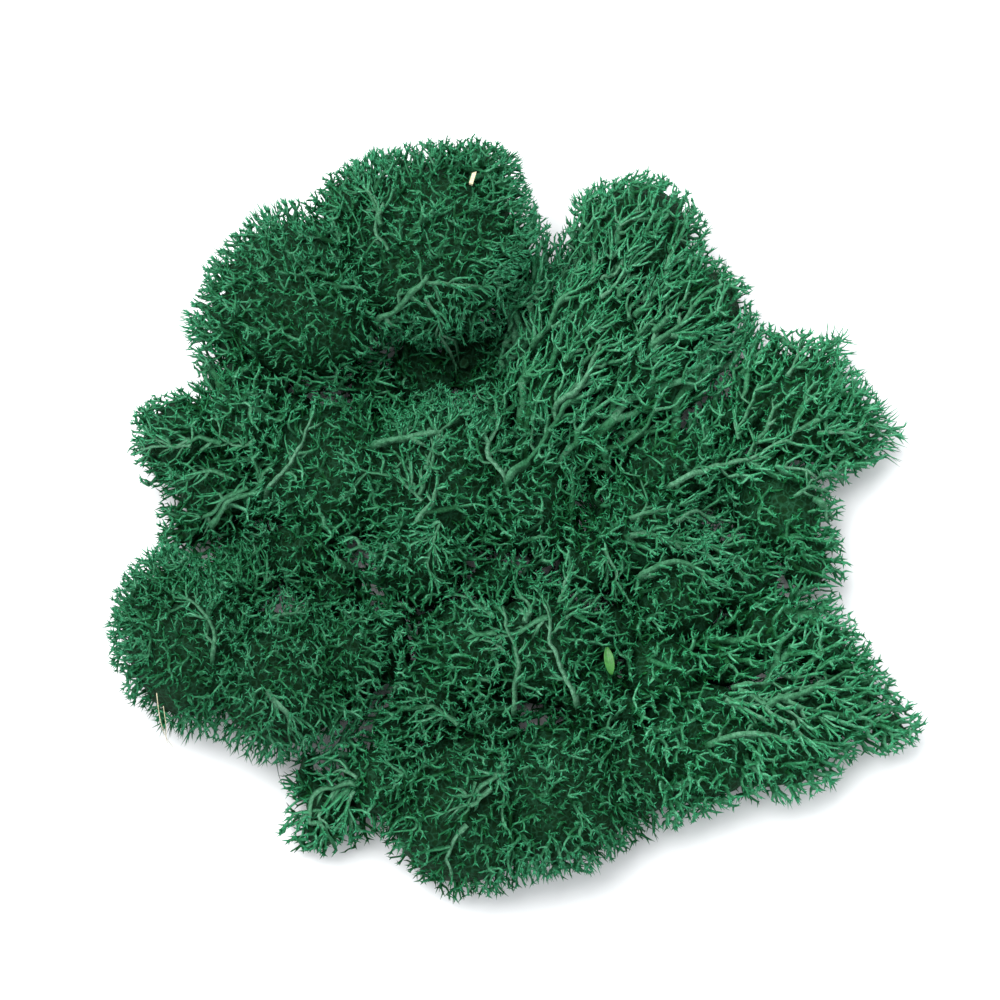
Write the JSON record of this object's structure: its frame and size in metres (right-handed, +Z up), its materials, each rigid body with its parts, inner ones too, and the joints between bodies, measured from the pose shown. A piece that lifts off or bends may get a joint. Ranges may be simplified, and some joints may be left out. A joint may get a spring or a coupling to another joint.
{
  "type": "reindeer moss clump",
  "caption": "Loose heap of torn tufts of preserved, dyed reindeer lichen with star-forked branch tips, lying on a flat underside.",
  "frame": {"origin": "on the surface that the heap lies on, under the middle of the heap's box", "axes": "+Z up, away from the surface; +X along the heap's longest side, to the right as seen by the viewer; +Y away from the viewer"},
  "size_m": [0.152, 0.1458, 0.0389],
  "materials": {
    "crown_tuft_lichen": "dyed, matte, finely granular",
    "left_shoulder_tuft_lichen": "dyed, matte, finely granular",
    "upper_right_tuft_lichen": "dyed, matte, finely granular",
    "right_tuft_lichen": "dyed, matte, finely granular",
    "lower_left_cushion_lichen": "dyed, matte, finely granular",
    "bottom_tuft_lichen": "dyed, matte, finely granular",
    "lower_right_tuft_lichen": "dyed, matte, finely granular",
    "centre_tuft_lichen": "dyed, matte, finely granular",
    "bottom_centre_tuft_lichen": "dyed, matte, finely granular",
    "middle_right_tuft_lichen": "dyed, matte, finely granular",
    "curled_tuft_lichen": "dyed, matte, finely granular",
    "pale_wood": "raw, dry",
    "leaf": "dry, slightly waxy"
  },
  "bodies": {
    "root": {"crown_tuft": "crown_tuft_lichen", "left_shoulder_tuft": "left_shoulder_tuft_lichen", "upper_right_tuft": "upper_right_tuft_lichen", "right_tuft": "right_tuft_lichen", "lower_left_cushion": "lower_left_cushion_lichen", "bottom_tuft": "bottom_tuft_lichen", "lower_right_tuft": "lower_right_tuft_lichen", "centre_tuft": "centre_tuft_lichen", "bottom_centre_tuft": "bottom_centre_tuft_lichen", "middle_right_tuft": "middle_right_tuft_lichen", "curled_tuft": "curled_tuft_lichen", "wood_chip": "pale_wood", "leaf_fragment": "leaf"}
  },
  "joints": []
}
